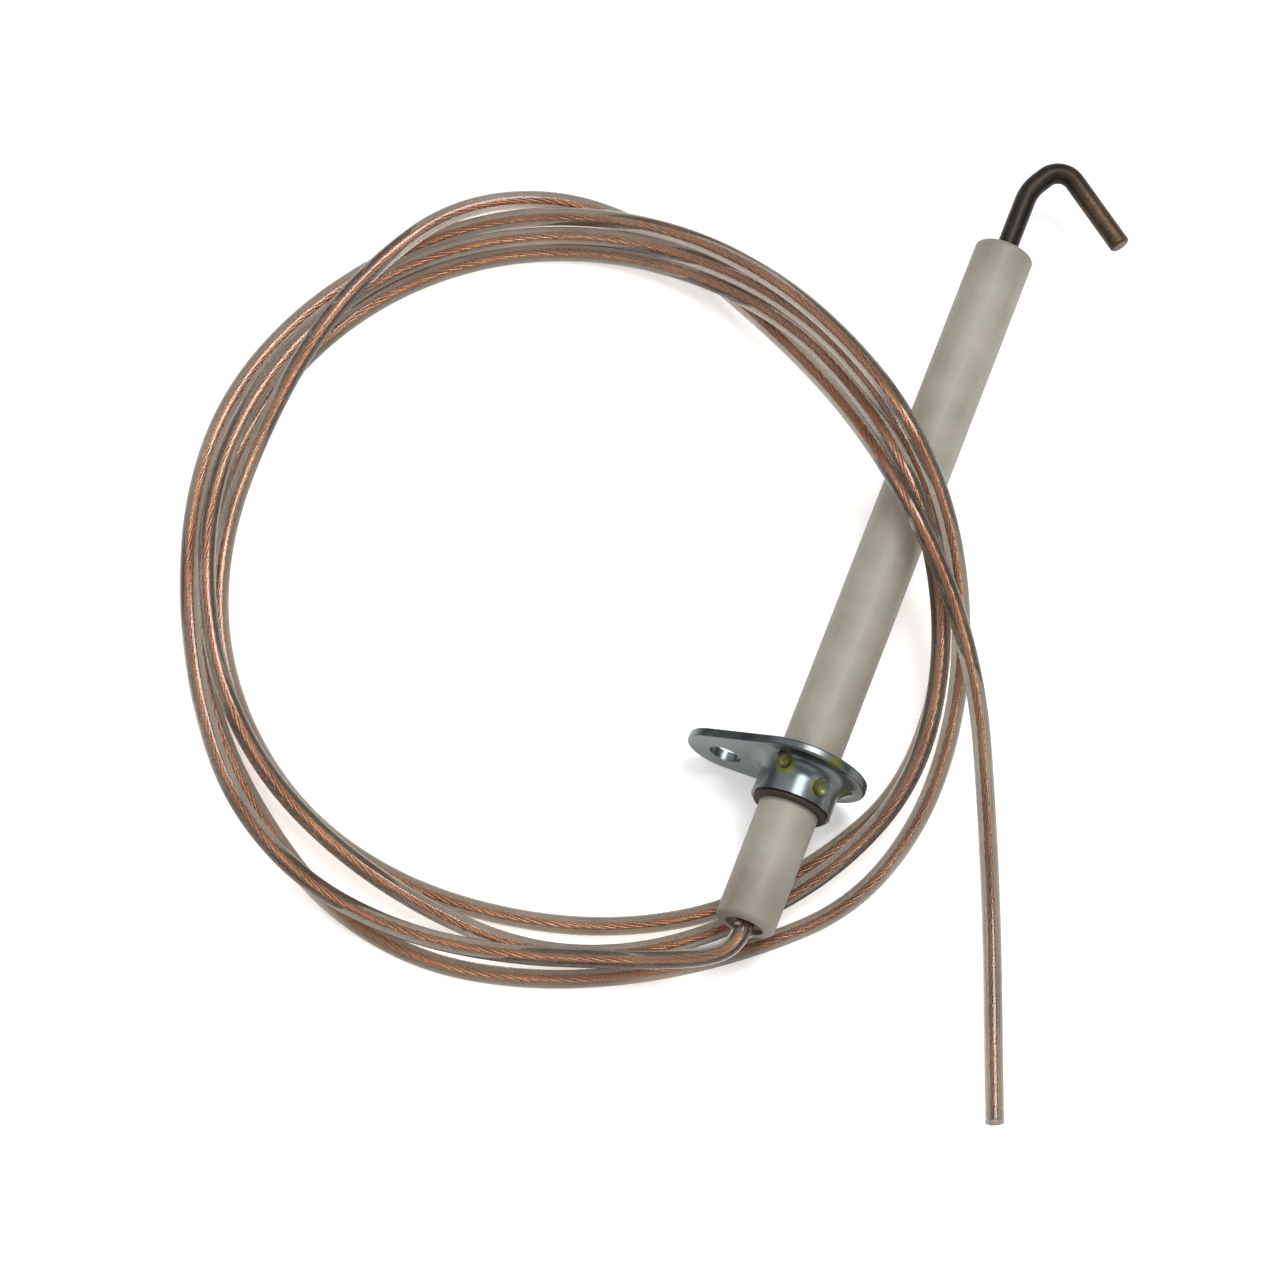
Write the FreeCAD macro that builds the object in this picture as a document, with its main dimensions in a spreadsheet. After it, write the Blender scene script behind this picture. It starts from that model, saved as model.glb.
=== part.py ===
import FreeCAD, Part
import math
import os
import Sketcher

V = FreeCAD.Vector

# Ignition electrode for a gas or oil burner: a hooked heat-resistant wire in an alumina tube,
# a zinc-plated pressed flange staked round the tube, and a clear-insulated copper lead.
# Frame: millimetres, +Y along the electrode towards the hook, +Z up, lying on z = 0.
# Origin: centre of the box of the electrode and its flange, on the surface it lies on.

doc = FreeCAD.newDocument("ignition_electrode")

# ---------------------------------------------------------------- driving dimensions
sheet = doc.addObject("Spreadsheet::Sheet", "Dims")
DIMS = [
    ("axis_x", 0.614),             # electrode axis in the frame
    ("axis_z", 8.5),
    ("cable_end_y", -57.713),       # ceramic face the lead comes out of
    ("ceramic_dia", 8.0),
    ("ceramic_length", 100.7),
    ("ceramic_edge", 0.7),
    ("rod_bore_dia", 3.0),
    ("rear_bore_dia", 5.2),
    ("rear_bore_depth", 32.0),
    ("front_pocket_dia", 4.4),
    ("front_pocket_depth", 2.6),
    ("wire_dia", 2.8),
    ("wire_inside", 80.7),         # length of the rod inside the ceramic, from its hook end
    ("wire_straight", 7.9),
    ("plate_thick", 1.25),
    ("plate_back", 78.5),          # hook end of the ceramic to the plate's cable-side face
    ("disc_radius", 8.5),
    ("lug_radius", 5.3),
    ("lug_reach", 11.2),
    ("screw_hole_dia", 4.3),
    ("roll_deg", 16.6),            # the plate's straight lower edge lies on the surface
    ("collar_radius", 5.4),
    ("collar_bore", 4.05),
    ("collar_height", 4.8),
    ("collar_flare", 2.2),
    ("stake_ball", 1.5),           # lower row of staking marks, on the straight part of the collar
    ("stake_centre", 6.25),
    ("stake_offset", 2.6),
    ("flare_stake_ball", 1.25),    # upper row, staggered, in the flare below the plate
    ("flare_stake_centre", 6.4),
    ("flare_stake_offset", 1.15),
    ("stakes_per_row", 3),
    ("ring_outer", 5.0),
    ("ring_thick", 0.6),
    ("ferrule_dia", 4.2),
    ("ferrule_length", 15.0),
    ("lead_dia", 2.5),
    ("core_dia", 0.76),
    ("potting_depth", 7.0),
    ("potting_recess", 0.5),
]
for i, (alias, value) in enumerate(DIMS):
    sheet.set("A%d" % (i + 1), alias)
    sheet.set("B%d" % (i + 1), str(value))
    sheet.setAlias("B%d" % (i + 1), alias)
doc.recompute()


def dim(alias):
    return float(sheet.get(alias))


AX, AZ, YC = dim("axis_x"), dim("axis_z"), dim("cable_end_y")
LC = dim("ceramic_length")
HOOK_END = YC + LC

# ---------------------------------------------------------------- helpers
NODES = []


def plane(body, role):
    return [f for f in body.Origin.OriginFeatures if f.Role == role][0]


def new_body(name):
    body = doc.addObject("PartDesign::Body", name)
    body.Label = name
    NODES.append(body)
    return body


def sketch_on(body, name, role="XY_Plane"):
    sk = body.newObject("Sketcher::SketchObject", name)
    sk.AttachmentSupport = [(plane(body, role), "")]
    sk.MapMode = "FlatFace"
    return sk


def axis_on_y(body, y):
    body.Placement = FreeCAD.Placement(V(AX, y, AZ), FreeCAD.Rotation())


def profile(body, name, points, bounds):
    """Closed polygon in the body's XY plane: x is the radius and y the length along the axis.
    bounds: point index -> (x expression or None, y expression or None)."""
    sk = sketch_on(body, name)
    n = len(points)
    for i in range(n):
        a, b = points[i], points[(i + 1) % n]
        sk.addGeometry(Part.LineSegment(V(a[0], a[1], 0), V(b[0], b[1], 0)), False)
    for i in range(n):
        sk.addConstraint(Sketcher.Constraint("Coincident", i, 2, (i + 1) % n, 1))
    for i, (ex, ey) in bounds.items():
        cx = sk.addConstraint(Sketcher.Constraint("DistanceX", -1, 1, i, 1, points[i][0]))
        if ex:
            sk.setExpression("Constraints[%d]" % cx, ex)
        if abs(points[i][1]) < 1e-9:
            sk.addConstraint(Sketcher.Constraint("PointOnObject", i, 1, -1))
        else:
            cy = sk.addConstraint(Sketcher.Constraint("DistanceY", -1, 1, i, 1, points[i][1]))
            if ey:
                sk.setExpression("Constraints[%d]" % cy, ey)
    return sk


def revolve(body, name, sk, kind="PartDesign::Revolution"):
    rev = body.newObject(kind, name)
    rev.Profile = sk
    rev.ReferenceAxis = (sk, ["V_Axis"])
    rev.Angle = 360
    return rev


def turned(name, points, bounds, y):
    """A turned sub-part: one closed profile revolved about the electrode axis."""
    body = new_body(name)
    sk = profile(body, name + "_profile", points, bounds)
    revolve(body, name + "_turned", sk)
    axis_on_y(body, y)
    return body


# ---------------------------------------------------------------- ceramic insulator
ceramic = doc.addObject("PartDesign::Body", "ceramic_insulator")
ceramic.Label = "ceramic_insulator"
NODES.append(ceramic)
sk = sketch_on(ceramic, "tube_section", "XZ_Plane")
sk.addGeometry(Part.Circle(V(0, 0, 0), V(0, 0, 1), dim("ceramic_dia") / 2), False)
sk.addConstraint(Sketcher.Constraint("Coincident", 0, 3, -1, 1))
c = sk.addConstraint(Sketcher.Constraint("Radius", 0, dim("ceramic_dia") / 2))
sk.setExpression("Constraints[%d]" % c, "Dims.ceramic_dia / 2")
pad = ceramic.newObject("PartDesign::Pad", "tube")
pad.Profile = sk
pad.setExpression("Length", "Dims.ceramic_length")
pad.Reversed = True
doc.recompute()
if pad.Shape.BoundBox.YMax < 1:
    pad.Reversed = False
    doc.recompute()
fil = ceramic.newObject("PartDesign::Fillet", "rounded_ends")
fil.Base = (pad, ["Edge%d" % (i + 1) for i, e in enumerate(pad.Shape.Edges)
                  if isinstance(e.Curve, Part.Circle)])
fil.setExpression("Radius", "Dims.ceramic_edge")
doc.recompute()
rb, fb, fp = dim("rear_bore_dia") / 2, dim("rod_bore_dia") / 2, dim("front_pocket_dia") / 2
rd, fd = dim("rear_bore_depth"), dim("front_pocket_depth")
bore = profile(
    ceramic, "bore_profile",
    [(0, -1), (rb, -1), (rb, rd), (fb, rd + 1), (fb, LC - fd), (fp, LC - fd), (fp, LC + 1), (0, LC + 1)],
    {0: (None, None), 1: ("Dims.rear_bore_dia / 2", None), 2: ("Dims.rear_bore_dia / 2", "Dims.rear_bore_depth"),
     3: ("Dims.rod_bore_dia / 2", "Dims.rear_bore_depth + 1"),
     4: ("Dims.rod_bore_dia / 2", "Dims.ceramic_length - Dims.front_pocket_depth"),
     5: ("Dims.front_pocket_dia / 2", "Dims.ceramic_length - Dims.front_pocket_depth"),
     6: ("Dims.front_pocket_dia / 2", "Dims.ceramic_length + 1"), 7: (None, "Dims.ceramic_length + 1")},
)
revolve(ceramic, "stepped_bore", bore, "PartDesign::Groove")
axis_on_y(ceramic, YC)
doc.recompute()

# ---------------------------------------------------------------- electrode rod: round wire with a hooked tip
rod = new_body("electrode_rod")
rod_in, rs = dim("wire_inside"), dim("wire_straight")
spine = sketch_on(rod, "rod_path", "XY_Plane")
R1, A1 = 6.0, 30.0       # first easy bend
L1 = 1.3                 # short straight
R2, A2 = 2.6, 97.0       # tight bend at the top of the hook
LEG = 11.05              # free leg


def along(p, d, length):
    return V(p.x + d.x * length, p.y + d.y * length, 0)


def turn(p, d, radius, deg):
    """Clockwise arc from p in direction d: returns arc, end point, end direction."""
    right = V(d.y, -d.x, 0)
    centre = p + right * radius
    out = []
    for f in (0.5, 1.0):
        a = -math.radians(deg * f)
        v = p - centre
        out.append(centre + V(v.x * math.cos(a) - v.y * math.sin(a), v.x * math.sin(a) + v.y * math.cos(a), 0))
    a = -math.radians(deg)
    nd = V(d.x * math.cos(a) - d.y * math.sin(a), d.x * math.sin(a) + d.y * math.cos(a), 0)
    return Part.Arc(p, out[0], out[1]), out[1], nd


p0, d0 = V(0, -rod_in, 0), V(0, 1, 0)
p1 = V(0, rs, 0)
arc1, p2, d1 = turn(p1, d0, R1, A1)
p3 = along(p2, d1, L1)
arc2, p4, d2 = turn(p3, d1, R2, A2)
p5 = along(p4, d2, LEG)
for g in (Part.LineSegment(p0, p1), arc1, Part.LineSegment(p2, p3), arc2, Part.LineSegment(p4, p5)):
    spine.addGeometry(g, False)
section = sketch_on(rod, "rod_section", "XZ_Plane")
section.AttachmentOffset = FreeCAD.Placement(V(0, 0, rod_in), FreeCAD.Rotation())
section.addGeometry(Part.Circle(V(0, 0, 0), V(0, 0, 1), dim("wire_dia") / 2), False)
section.addConstraint(Sketcher.Constraint("Coincident", 0, 3, -1, 1))
c = section.addConstraint(Sketcher.Constraint("Radius", 0, dim("wire_dia") / 2))
section.setExpression("Constraints[%d]" % c, "Dims.wire_dia / 2")
doc.recompute()
if abs(section.Placement.Base.y + rod_in) > 1e-6:
    section.AttachmentOffset = FreeCAD.Placement(V(0, 0, -rod_in), FreeCAD.Rotation())
    doc.recompute()
pipe = rod.newObject("PartDesign::AdditivePipe", "bent_wire")
pipe.Profile = section
pipe.Spine = (spine, [])
pipe.Mode = "Standard"
axis_on_y(rod, HOOK_END)
doc.recompute()
tip_chamfer = rod.newObject("PartDesign::Chamfer", "cut_tip")
tip_edges = [i + 1 for i, e in enumerate(pipe.Shape.Edges)
             if isinstance(e.Curve, Part.Circle) and abs(e.Curve.Radius - dim("wire_dia") / 2) < 1e-3
             and (e.Curve.Center - p5).Length < 0.05]
tip_chamfer.Base = (pipe, ["Edge%d" % i for i in tip_edges])
tip_chamfer.Size = 0.22
doc.recompute()

# ---------------------------------------------------------------- front cement: fills the pocket round the rod
wr = dim("wire_dia") / 2
turned(
    "front_cement",
    [(wr + 0.02, 0), (fp - 0.02, 0), (fp - 0.02, fd - 0.25), (wr + 0.02, fd + 0.15)],
    {0: ("Dims.wire_dia / 2 + 0.02", None), 1: ("Dims.front_pocket_dia / 2 - 0.02", None),
     2: ("Dims.front_pocket_dia / 2 - 0.02", "Dims.front_pocket_depth - 0.25"),
     3: ("Dims.wire_dia / 2 + 0.02", "Dims.front_pocket_depth + 0.15")},
    HOOK_END - fd + 0.01,
)

# ---------------------------------------------------------------- mounting flange: pressed plate, lug, drawn collar
flange = new_body("mounting_flange")
pt, dr, lr, reach = dim("plate_thick"), dim("disc_radius"), dim("lug_radius"), dim("lug_reach")
outline = sketch_on(flange, "plate_outline", "XZ_Plane")
th = math.acos((dr - lr) / reach)        # tangent direction from the lug's own direction
ux, uz = -math.cos(th), math.sin(th)


def on_disc(s):
    return V(dr * ux, s * dr * uz, 0)


def on_lug(s):
    return V(-reach + lr * ux, s * lr * uz, 0)


outline.addGeometry(Part.Arc(on_disc(-1), V(dr, 0, 0), on_disc(1)), False)          # 0 round end
outline.addGeometry(Part.LineSegment(on_disc(1), on_lug(1)), False)                # 1
outline.addGeometry(Part.Arc(on_lug(1), V(-reach - lr, 0, 0), on_lug(-1)), False)   # 2 lug end
outline.addGeometry(Part.LineSegment(on_lug(-1), on_disc(-1)), False)              # 3
outline.addConstraint(Sketcher.Constraint("Coincident", 0, 3, -1, 1))
outline.addConstraint(Sketcher.Constraint("Tangent", 0, 2, 1, 1))
outline.addConstraint(Sketcher.Constraint("Tangent", 1, 2, 2, 1))
outline.addConstraint(Sketcher.Constraint("Tangent", 2, 2, 3, 1))
outline.addConstraint(Sketcher.Constraint("Tangent", 3, 2, 0, 1))
outline.addConstraint(Sketcher.Constraint("PointOnObject", 2, 3, -1))
c = outline.addConstraint(Sketcher.Constraint("Radius", 0, dr))
outline.setExpression("Constraints[%d]" % c, "Dims.disc_radius")
c = outline.addConstraint(Sketcher.Constraint("Radius", 2, lr))
outline.setExpression("Constraints[%d]" % c, "Dims.lug_radius")
c = outline.addConstraint(Sketcher.Constraint("DistanceX", 2, 3, -1, 1, reach))
outline.setExpression("Constraints[%d]" % c, "Dims.lug_reach")
doc.recompute()
plate = flange.newObject("PartDesign::Pad", "plate")
plate.Profile = outline
plate.setExpression("Length", "Dims.plate_thick")
plate.Reversed = True
doc.recompute()
if plate.Shape.BoundBox.YMax < 0.1:
    plate.Reversed = False
    doc.recompute()
edge = flange.newObject("PartDesign::Fillet", "rolled_edge")
edge.Base = (plate, ["Edge%d" % (i + 1) for i, e in enumerate(plate.Shape.Edges)
                     if e.BoundBox.YLength < 1e-6])
edge.Radius = 0.3
doc.recompute()
# collar profile, local y = 0 at the plate's cable-side face, collar towards -y
cr, cb, ch, fl = dim("collar_radius"), dim("collar_bore"), dim("collar_height"), dim("collar_flare")
col = sketch_on(flange, "collar_profile", "XY_Plane")
q = [V(cb, 0.4, 0), V(cr + fl, 0.4, 0), V(cr + fl, 0, 0), V(cr, -fl, 0), V(cr, -ch, 0), V(cb, -ch, 0)]
mid = V(cr + fl - fl * math.cos(math.radians(45)), -fl + fl * math.sin(math.radians(45)), 0)
for g in (Part.LineSegment(q[0], q[1]), Part.LineSegment(q[1], q[2]), Part.Arc(q[2], mid, q[3]),
          Part.LineSegment(q[3], q[4]), Part.LineSegment(q[4], q[5]), Part.LineSegment(q[5], q[0])):
    col.addGeometry(g, False)
for i in range(6):
    col.addConstraint(Sketcher.Constraint("Coincident", i, 2, (i + 1) % 6, 1))
for i, what in ((0, "Horizontal"), (1, "Vertical"), (3, "Vertical"), (4, "Horizontal"), (5, "Vertical")):
    col.addConstraint(Sketcher.Constraint(what, i))
for args, expr in (
    (("DistanceX", -1, 1, 0, 1, cb), "Dims.collar_bore"),
    (("DistanceX", -1, 1, 4, 1, cr), "Dims.collar_radius"),
    (("DistanceX", -1, 1, 1, 1, cr + fl), "Dims.collar_radius + Dims.collar_flare"),
    (("Radius", 2, fl), "Dims.collar_flare"),
    (("DistanceY", 4, 1, -1, 1, ch), "Dims.collar_height"),
    (("DistanceY", -1, 1, 0, 1, 0.4), None),
):
    c = col.addConstraint(Sketcher.Constraint(*args))
    if expr:
        col.setExpression("Constraints[%d]" % c, expr)
col.addConstraint(Sketcher.Constraint("PointOnObject", 2, 1, -1))
c = col.addConstraint(Sketcher.Constraint("DistanceY", 3, 1, -1, 1, fl))
col.setExpression("Constraints[%d]" % c, "Dims.collar_flare")
doc.recompute()
collar = revolve(flange, "drawn_collar", col)
doc.recompute()
# through bore for the ceramic, flared on the hook side like the mouth of a drawn neck
mouth = sketch_on(flange, "bore_profile", "XY_Plane")
m = [V(0, -ch - 1, 0), V(cb, -ch - 1, 0), V(cb, pt - 0.9, 0), V(cb + 0.9, pt, 0), V(cb + 0.9, pt + 1, 0), V(0, pt + 1, 0)]
mm = V(cb + 0.9 - 0.9 * math.cos(math.radians(45)), pt - 0.9 + 0.9 * math.sin(math.radians(45)), 0)
for g in (Part.LineSegment(m[0], m[1]), Part.LineSegment(m[1], m[2]), Part.Arc(m[2], mm, m[3]),
          Part.LineSegment(m[3], m[4]), Part.LineSegment(m[4], m[5]), Part.LineSegment(m[5], m[0])):
    mouth.addGeometry(g, False)
# the mouth's arc runs from its end at the face (point 1) to its end in the bore (point 2)
for a, b in (((0, 2), (1, 1)), ((1, 2), (2, 2)), ((2, 1), (3, 1)), ((3, 2), (4, 1)), ((4, 2), (5, 1)), ((5, 2), (0, 1))):
    mouth.addConstraint(Sketcher.Constraint("Coincident", a[0], a[1], b[0], b[1]))
for (geo, pos), p in zip(((0, 1), (1, 1), (1, 2), (3, 1), (4, 1), (5, 1)), m):
    if abs(p.x) < 1e-9:
        mouth.addConstraint(Sketcher.Constraint("PointOnObject", geo, pos, -2))
    else:
        c = mouth.addConstraint(Sketcher.Constraint("DistanceX", -1, 1, geo, pos, p.x))
        mouth.setExpression("Constraints[%d]" % c,
                            "Dims.collar_bore" if abs(p.x - cb) < 1e-9 else "Dims.collar_bore + 0.9")
    mouth.addConstraint(Sketcher.Constraint("DistanceY", -1, 1, geo, pos, p.y))
c = mouth.addConstraint(Sketcher.Constraint("DistanceX", -1, 1, 2, 3, cb + 0.9))
mouth.setExpression("Constraints[%d]" % c, "Dims.collar_bore + 0.9")
doc.recompute()
arc = mouth.Geometry[2]
print("bore mouth arc: radius %.3f centre %.3f %.3f sweep %.1f" % (
    arc.Radius, arc.Center.x, arc.Center.y, math.degrees(arc.LastParameter - arc.FirstParameter)))
revolve(flange, "ceramic_bore", mouth, "PartDesign::Groove")
doc.recompute()
# screw hole in the lug
hole = sketch_on(flange, "screw_hole_circle", "XZ_Plane")
hole.addGeometry(Part.Circle(V(-reach, 0, 0), V(0, 0, 1), dim("screw_hole_dia") / 2), False)
hole.addConstraint(Sketcher.Constraint("PointOnObject", 0, 3, -1))
c = hole.addConstraint(Sketcher.Constraint("DistanceX", 0, 3, -1, 1, reach))
hole.setExpression("Constraints[%d]" % c, "Dims.lug_reach")
c = hole.addConstraint(Sketcher.Constraint("Radius", 0, dim("screw_hole_dia") / 2))
hole.setExpression("Constraints[%d]" % c, "Dims.screw_hole_dia / 2")
doc.recompute()
before = flange.Shape.Volume
screw = flange.newObject("PartDesign::Pocket", "screw_hole")
screw.Profile = hole
screw.Type = 1          # through all
screw.Midplane = True
doc.recompute()
print("screw hole removed mm3:", round(before - flange.Shape.Volume, 2))
# staking marks: round dimples in two staggered rows of three round the neck


def stake_row(name, ball_dim, centre_dim, offset_dim, turned_by):
    ball, zc, so = dim(ball_dim), dim(centre_dim), dim(offset_dim)
    sk = sketch_on(flange, name + "_profile", "YZ_Plane")
    sk.AttachmentOffset = FreeCAD.Placement(V(0, 0, 0), FreeCAD.Rotation(V(1, 0, 0), turned_by))
    sk.addGeometry(Part.Arc(V(-so, zc - ball, 0), V(-so + ball, zc, 0), V(-so, zc + ball, 0)), False)
    sk.addGeometry(Part.LineSegment(V(-so, zc + ball, 0), V(-so, zc - ball, 0)), False)
    sk.addConstraint(Sketcher.Constraint("Coincident", 0, 2, 1, 1))
    sk.addConstraint(Sketcher.Constraint("Coincident", 1, 2, 0, 1))
    sk.addConstraint(Sketcher.Constraint("Vertical", 1))
    sk.addConstraint(Sketcher.Constraint("PointOnObject", 0, 3, 1))
    for args, expr in (
        (("Radius", 0, ball), "Dims." + ball_dim),
        (("DistanceX", 0, 3, -1, 1, so), "Dims." + offset_dim),
        (("DistanceY", -1, 1, 0, 3, zc), "Dims." + centre_dim),
    ):
        c = sk.addConstraint(Sketcher.Constraint(*args))
        sk.setExpression("Constraints[%d]" % c, expr)
    doc.recompute()
    before = flange.Shape.Volume
    dimple = flange.newObject("PartDesign::Groove", name + "_mark")
    dimple.Profile = sk
    dimple.ReferenceAxis = (sk, ["Edge2"])
    dimple.Angle = 360
    doc.recompute()
    one = before - flange.Shape.Volume
    pat = flange.newObject("PartDesign::PolarPattern", name + "_marks")
    pat.Originals = [dimple]
    pat.Axis = ([f for f in flange.Origin.OriginFeatures if f.Role == "Y_Axis"][0], [""])
    pat.Angle = 360
    pat.setExpression("Occurrences", "Dims.stakes_per_row")
    flange.Tip = pat
    doc.recompute()
    print(name, "one mark mm3:", round(one, 3), "row:", round(before - flange.Shape.Volume, 3))


stake_row("flare_stake", "flare_stake_ball", "flare_stake_centre", "flare_stake_offset", -6.4)
stake_row("stake", "stake_ball", "stake_centre", "stake_offset", 53.6)
flange.Placement = FreeCAD.Placement(
    V(AX, HOOK_END - dim("plate_back"), AZ), FreeCAD.Rotation(V(0, 1, 0), -dim("roll_deg")))
doc.recompute()

# ---------------------------------------------------------------- packing ring under the collar
ro, rt, ri = dim("ring_outer"), dim("ring_thick"), dim("ceramic_dia") / 2 + 0.02
ring_body = turned(
    "collar_packing_ring",
    [(ri, 0), (ro - 0.2, 0), (ro, 0.2), (ro, rt - 0.02), (ri, rt - 0.02)],
    {0: ("Dims.ceramic_dia / 2 + 0.02", None), 1: ("Dims.ring_outer - 0.2", None), 2: ("Dims.ring_outer", None),
     3: ("Dims.ring_outer", "Dims.ring_thick - 0.02"), 4: ("Dims.ceramic_dia / 2 + 0.02", "Dims.ring_thick - 0.02")},
    HOOK_END - dim("plate_back") - ch - rt,
)

# ---------------------------------------------------------------- splice inside the ceramic
rod_end = LC - rod_in            # from the cable end
fr, flen = dim("ferrule_dia") / 2, dim("ferrule_length")
kr, er = dim("core_dia") / 2, dim("lead_dia") / 2
half = flen / 2
turned(
    "splice_ferrule",
    [(kr + 0.02, 0), (fr - 0.8, 0), (fr - 0.8, half - 2), (fr, half - 0.6), (fr, flen), (wr + 0.02, flen),
     (wr + 0.02, half), (kr + 0.02, half)],
    {0: ("Dims.core_dia / 2 + 0.02", None), 1: ("Dims.ferrule_dia / 2 - 0.8", None),
     2: ("Dims.ferrule_dia / 2 - 0.8", "Dims.ferrule_length / 2 - 2"),
     3: ("Dims.ferrule_dia / 2", "Dims.ferrule_length / 2 - 0.6"),
     4: ("Dims.ferrule_dia / 2", "Dims.ferrule_length"), 5: ("Dims.wire_dia / 2 + 0.02", "Dims.ferrule_length"),
     6: ("Dims.wire_dia / 2 + 0.02", "Dims.ferrule_length / 2"),
     7: ("Dims.core_dia / 2 + 0.02", "Dims.ferrule_length / 2")},
    YC + rod_end - half,
)

# seven copper strands from the lead's end face to the bottom of the ferrule's small bore
core_len = rod_end - 0.2
strand = dim("core_dia") / 3 - 0.012
strands = []
for k in range(7):
    cyl = doc.addObject("Part::Cylinder", "copper_strand_%d" % (k + 1))
    cyl.setExpression("Radius", "(Dims.core_dia / 3 - 0.012) / 2")
    cyl.Height = core_len
    pr = 0.0 if k == 0 else dim("core_dia") / 3
    a = math.radians(60 * k)
    cyl.Placement = FreeCAD.Placement(
        V(AX + pr * math.cos(a), YC + 0.02 + core_len, AZ + pr * math.sin(a)), FreeCAD.Rotation(V(1, 0, 0), 90))
    strands.append(cyl)
core = doc.addObject("Part::Compound", "conductor_strands")
core.Label = "conductor_strands"
core.Links = strands
NODES.append(core)

# insulation of the lead inside the ceramic, stripped short of the ferrule
strip = rod_end - half - 0.6
turned(
    "lead_insulation_inside",
    [(kr + 0.02, 0), (er, 0), (er, strip), (kr + 0.02, strip)],
    {0: ("Dims.core_dia / 2 + 0.02", None), 1: ("Dims.lead_dia / 2", None), 2: ("Dims.lead_dia / 2", None),
     3: ("Dims.core_dia / 2 + 0.02", None)},
    YC + 0.01,
)
pd, prc = dim("potting_depth"), dim("potting_recess")
turned(
    "rear_potting",
    [(er + 0.03, 0.25), (rb - 0.02, 0), (rb - 0.02, pd), (er + 0.03, pd)],
    {0: ("Dims.lead_dia / 2 + 0.03", None), 1: ("Dims.rear_bore_dia / 2 - 0.02", None),
     2: ("Dims.rear_bore_dia / 2 - 0.02", "Dims.potting_depth"), 3: ("Dims.lead_dia / 2 + 0.03", "Dims.potting_depth")},
    YC + prc,
)
doc.recompute()

# ---------------------------------------------------------------- the lead outside the ceramic
# Coil of 3.9 turns: outer shape of the bundle at stations round its centre. Each row is the angle in
# degrees (clockwise seen from above, from +X), inner and outer radius, underside and top.
COIL_CENTRE = (-37.0, -19.0)
COIL = [
    (0, 48.2, 55.7, 3.98, 11.79),
    (6, 48.9, 55.6, 2.86, 9.58),
    (12, 49.9, 56.6, 1.96, 8.33),
    (18, 50.1, 57.3, 1.27, 7.25),
    (24, 49.5, 57.8, 0.81, 6.34),
    (30, 48.1, 57.8, 0.49, 5.58),
    (36, 47.7, 57.6, 0.29, 4.95),
    (42, 47.4, 56.9, 0.17, 4.45),
    (48, 47.0, 56.2, 0.10, 4.03),
    (54, 46.5, 55.7, 0.08, 3.68),
    (60, 46.1, 55.4, 0.06, 5.97),
    (66, 45.7, 55.5, 0.05, 5.56),
    (72, 45.4, 55.7, 0.05, 5.26),
    (78, 45.3, 56.0, 0.05, 5.23),
    (84, 45.3, 56.3, 0.05, 5.21),
    (90, 45.3, 56.4, 0.05, 5.17),
    (96, 45.4, 56.3, 0.05, 5.13),
    (102, 45.6, 56.1, 0.05, 5.10),
    (108, 45.8, 55.5, 0.05, 5.09),
    (114, 46.0, 55.4, 0.05, 5.11),
    (120, 46.1, 55.3, 0.05, 5.16),
    (126, 46.1, 55.0, 0.05, 5.25),
    (132, 46.1, 54.4, 0.05, 5.39),
    (138, 46.1, 53.6, 0.05, 5.63),
    (144, 46.0, 53.0, 0.05, 5.98),
    (150, 45.9, 52.5, 0.05, 6.25),
    (156, 45.7, 52.1, 0.05, 6.42),
    (162, 45.5, 52.3, 0.05, 6.43),
    (168, 45.4, 52.7, 0.05, 6.33),
    (174, 45.3, 53.2, 0.05, 5.89),
    (180, 45.3, 53.6, 0.05, 5.48),
    (186, 45.3, 54.0, 0.05, 5.17),
    (192, 45.6, 54.2, 0.05, 5.47),
    (198, 46.2, 54.3, 0.05, 6.04),
    (204, 47.0, 54.3, 0.05, 6.42),
    (210, 47.5, 54.3, 0.05, 6.60),
    (216, 47.5, 54.3, 0.05, 6.60),
    (222, 47.4, 54.8, 0.06, 6.45),
    (228, 47.2, 56.3, 0.10, 5.92),
    (234, 47.0, 56.9, 0.15, 5.15),
    (240, 46.8, 56.9, 0.25, 4.87),
    (246, 46.4, 56.7, 0.41, 5.61),
    (252, 46.0, 55.9, 0.63, 6.61),
    (258, 45.6, 54.4, 0.64, 7.67),
    (264, 45.1, 52.5, 0.65, 8.84),
    (270, 44.6, 50.8, 0.83, 10.05),
    (276, 44.1, 50.0, 1.21, 11.39),
    (282, 42.7, 49.2, 1.93, 12.79),
    (288, 41.7, 48.5, 3.03, 14.29),
    (294, 41.0, 47.9, 4.40, 15.91),
    (300, 40.6, 47.3, 5.94, 17.45),
    (306, 40.4, 47.0, 7.61, 18.99),
    (312, 40.3, 47.2, 9.45, 19.85),
    (318, 40.4, 47.8, 11.47, 19.87),
    (324, 40.7, 48.8, 12.87, 19.50),
    (330, 41.4, 49.7, 11.42, 18.48),
    (336, 42.7, 50.6, 9.74, 18.47),
    (342, 44.6, 51.5, 8.13, 17.57),
    (348, 46.1, 52.5, 6.60, 15.78),
    (354, 47.2, 55.5, 5.25, 13.88),
]


def corner(row, radius, z):
    a = math.radians(row[0])
    return V(COIL_CENTRE[0] + radius * math.cos(a), COIL_CENTRE[1] - radius * math.sin(a), z)


faces = []


def tri(a, b, c):
    faces.append(Part.Face(Part.makePolygon([a, b, c, a])))


n = len(COIL)
quads = [[corner(r, r[1], r[3]), corner(r, r[2], r[3]), corner(r, r[2], r[4]), corner(r, r[1], r[4])] for r in COIL]
for i in range(n):
    A, B = quads[i], quads[(i + 1) % n]
    for j in range(4):
        k = (j + 1) % 4
        tri(A[j], A[k], B[k])
        tri(A[j], B[k], B[j])
coil = Part.Solid(Part.makeShell(faces))
if coil.Volume < 0:
    coil.reverse()
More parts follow.
